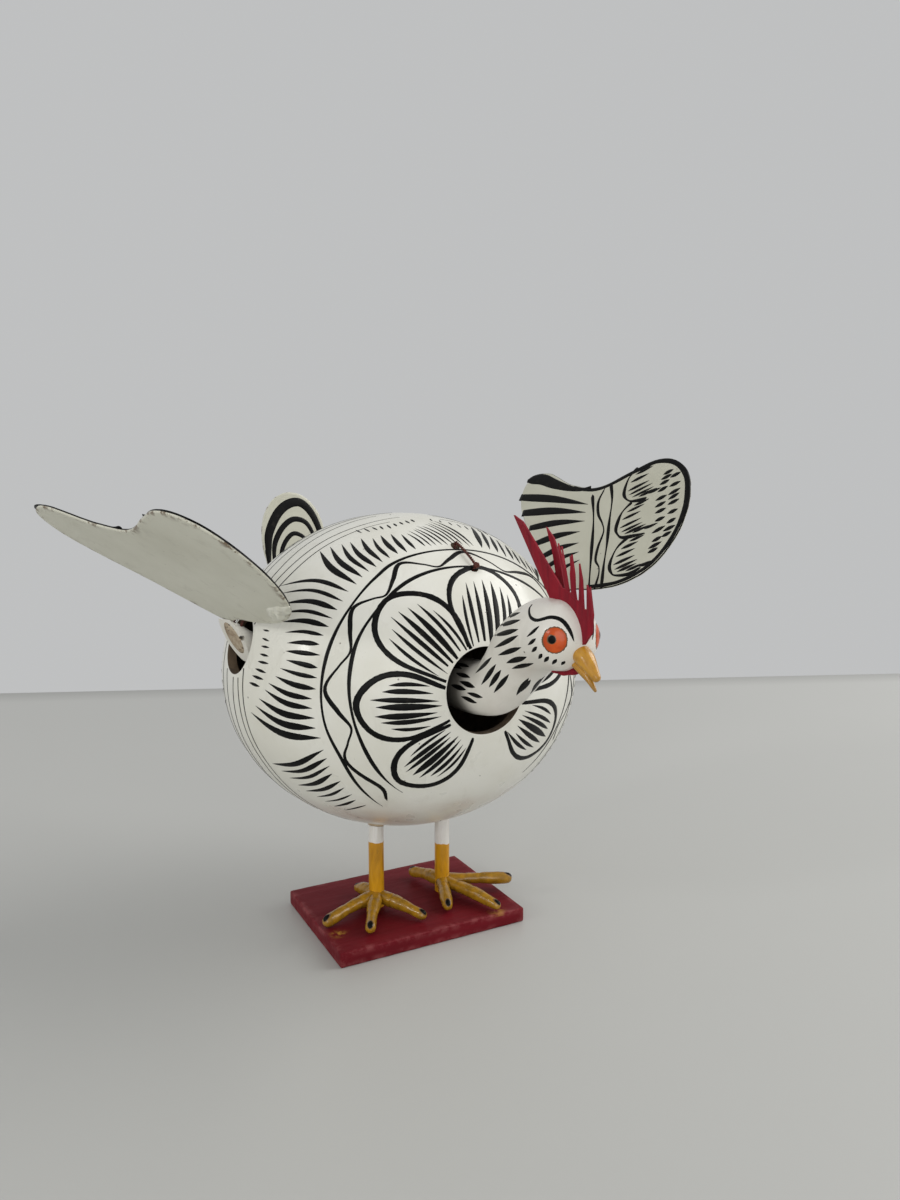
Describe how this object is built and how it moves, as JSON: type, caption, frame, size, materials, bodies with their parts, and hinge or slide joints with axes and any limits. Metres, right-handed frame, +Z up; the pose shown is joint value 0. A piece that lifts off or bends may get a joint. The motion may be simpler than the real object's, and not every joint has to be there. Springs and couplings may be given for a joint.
{
  "type": "bobbing hen figurine",
  "caption": "Painted hollow gourd hen on two dowel legs and a small board; its thread-hung head, wings and tail nod, flap and bob.",
  "frame": {"origin": "on the surface that the board stands on, under the middle of the gourd", "axes": "+Z up, -Y the way the beak points, +X the hen's left"},
  "size_m": [0.2089, 0.1891, 0.1566],
  "materials": {
    "shell_enamel": "off-white enamel with inked feather strokes, worn and speckled",
    "board_paint": "matte maroon paint, worn at the edges",
    "leg_paint": "streaky yellow paint over bare pale wood",
    "toe_paste": "hand rolled paste, glossy mustard enamel",
    "glue": "yellowed clear glue",
    "head_enamel": "off-white enamel with inked dashes",
    "beak_paint": "ochre enamel",
    "comb_paint": "stiff red painted card",
    "wire": "thin steel wire",
    "clay": "dry unfired clay",
    "wing_enamel": "off-white enamel with inked feathers, bare beneath",
    "peg_wood": "whittled pithy twig, white enamel rim",
    "thread": "dark twisted thread"
  },
  "bodies": {
    "root": {"base_board": "board_paint", "right_leg": "leg_paint", "left_leg": "leg_paint", "right_leg_glue": "glue", "left_leg_glue": "glue", "gourd_shell": "shell_enamel", "head_stitch": "thread", "tail_thread": "thread", "right_outer_toe": "toe_paste", "right_middle_toe": "toe_paste", "right_inner_toe": "toe_paste", "right_rear_toe": "toe_paste", "right_wing_thread": "thread", "left_outer_toe": "toe_paste", "left_middle_toe": "toe_paste", "left_inner_toe": "toe_paste", "left_rear_toe": "toe_paste", "left_wing_thread": "thread"},
    "head_hanger": {"head_hanger": "thread"},
    "head": {"head": "head_enamel", "upper_beak": "beak_paint", "lower_beak": "beak_paint", "comb_right_leaf": "comb_paint", "comb_left_leaf": "comb_paint", "wattle": "comb_paint", "neck_staple": "wire", "head_weight": "clay"},
    "right_wing": {"right_wing_blade": "wing_enamel", "right_wing_peg": "peg_wood", "right_wing_weight": "clay"},
    "left_wing": {"left_wing_blade": "wing_enamel", "left_wing_peg": "peg_wood", "left_wing_weight": "clay"},
    "tail": {"tail_fan": "wing_enamel", "tail_peg": "peg_wood", "tail_weight": "clay"}
  },
  "joints": [
    {"name": "head_turn", "type": "hinge", "parent": "root", "child": "head_hanger", "pos_m": [0, -0.038, 0.1002], "axis": [0, 0, 1], "range_deg": [-8, 8]},
    {"name": "head_nod", "type": "hinge", "parent": "head_hanger", "child": "head", "pos_m": [0, -0.038, 0.1002], "axis": [1, 0, 0], "range_deg": [-8, 8]},
    {"name": "right_wing_flap", "type": "hinge", "parent": "root", "child": "right_wing", "pos_m": [-0.0582, -0.0055, 0.102], "axis": [0, 1, 0], "range_deg": [-25, 5]},
    {"name": "left_wing_flap", "type": "hinge", "parent": "root", "child": "left_wing", "pos_m": [0.0582, -0.0055, 0.102], "axis": [0, -1, 0], "range_deg": [-30, 3]},
    {"name": "tail_bob", "type": "hinge", "parent": "root", "child": "tail", "pos_m": [-0.01111, 0.05713, 0.102], "axis": [0.9816, 0.1908, 0], "range_deg": [-15, 4]}
  ]
}
